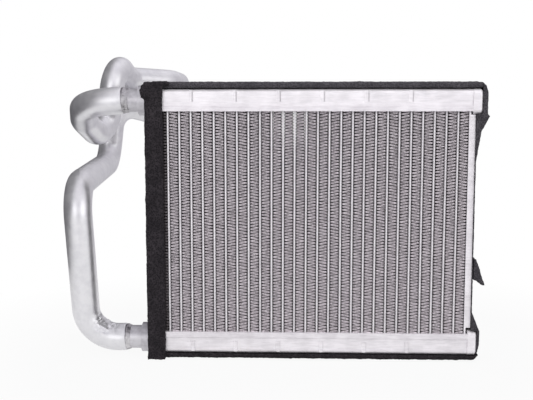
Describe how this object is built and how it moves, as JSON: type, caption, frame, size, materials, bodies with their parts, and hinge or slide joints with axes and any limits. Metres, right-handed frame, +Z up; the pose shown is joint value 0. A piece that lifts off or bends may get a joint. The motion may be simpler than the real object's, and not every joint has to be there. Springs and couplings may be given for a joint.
{
  "type": "vehicle heater core",
  "caption": "Heater core: folded-fin and flat-tube block between two tanks, foam seal round its edge, and two bent aluminium coolant pipes crossing beside it.",
  "frame": {"origin": "middle of the bottom foam strip's underside, half way through the core's depth", "axes": "+X to the right of the core's face, away from the pipes; +Y from the face shown in the picture to the back; +Z up from the bottom tank to the top tank"},
  "size_m": [0.2965, 0.2291, 0.2139],
  "materials": {
    "aluminium_tube": "satin",
    "aluminium_fin": "satin",
    "aluminium_sheet": "satin",
    "aluminium_pipe": "satin",
    "black_foam": "matte"
  },
  "bodies": {
    "root": {"flat_tube_01": "aluminium_tube", "flat_tube_02": "aluminium_tube", "flat_tube_03": "aluminium_tube", "flat_tube_04": "aluminium_tube", "flat_tube_05": "aluminium_tube", "flat_tube_06": "aluminium_tube", "flat_tube_07": "aluminium_tube", "flat_tube_08": "aluminium_tube", "flat_tube_09": "aluminium_tube", "flat_tube_10": "aluminium_tube", "flat_tube_11": "aluminium_tube", "flat_tube_12": "aluminium_tube", "flat_tube_13": "aluminium_tube", "flat_tube_14": "aluminium_tube", "flat_tube_15": "aluminium_tube", "flat_tube_16": "aluminium_tube", "flat_tube_17": "aluminium_tube", "flat_tube_18": "aluminium_tube", "flat_tube_19": "aluminium_tube", "flat_tube_20": "aluminium_tube", "flat_tube_21": "aluminium_tube", "flat_tube_22": "aluminium_tube", "flat_tube_23": "aluminium_tube", "flat_tube_24": "aluminium_tube", "flat_tube_25": "aluminium_tube", "flat_tube_26": "aluminium_tube", "fin_strips_01_02": "aluminium_fin", "fin_strips_03_04": "aluminium_fin", "fin_strips_05_06": "aluminium_fin", "fin_strips_07_08": "aluminium_fin", "fin_strips_09_10": "aluminium_fin", "fin_strips_11_12": "aluminium_fin", "fin_strips_13_14": "aluminium_fin", "fin_strips_15_16": "aluminium_fin", "fin_strips_17_18": "aluminium_fin", "fin_strips_19_20": "aluminium_fin", "fin_strips_21_22": "aluminium_fin", "fin_strips_23_24": "aluminium_fin", "fin_strips_25_26": "aluminium_fin", "fin_strips_27": "aluminium_fin", "left_side_plate": "aluminium_sheet", "right_side_plate": "aluminium_sheet", "top_header_plate": "aluminium_sheet", "bottom_header_plate": "aluminium_sheet", "top_tank_cover": "aluminium_sheet", "bottom_tank_cover": "aluminium_sheet", "top_left_end_cap": "aluminium_sheet", "top_right_end_cap": "aluminium_sheet", "bottom_left_end_cap": "aluminium_sheet", "bottom_right_end_cap": "aluminium_sheet", "upper_pipe_neck": "aluminium_pipe", "lower_pipe_neck": "aluminium_pipe", "upper_pipe": "aluminium_pipe", "lower_pipe": "aluminium_pipe", "top_foam_strip": "black_foam", "bottom_foam_strip": "black_foam", "left_foam_strip": "black_foam", "right_foam_strip": "black_foam", "loose_foam_patch": "black_foam"}
  },
  "joints": []
}
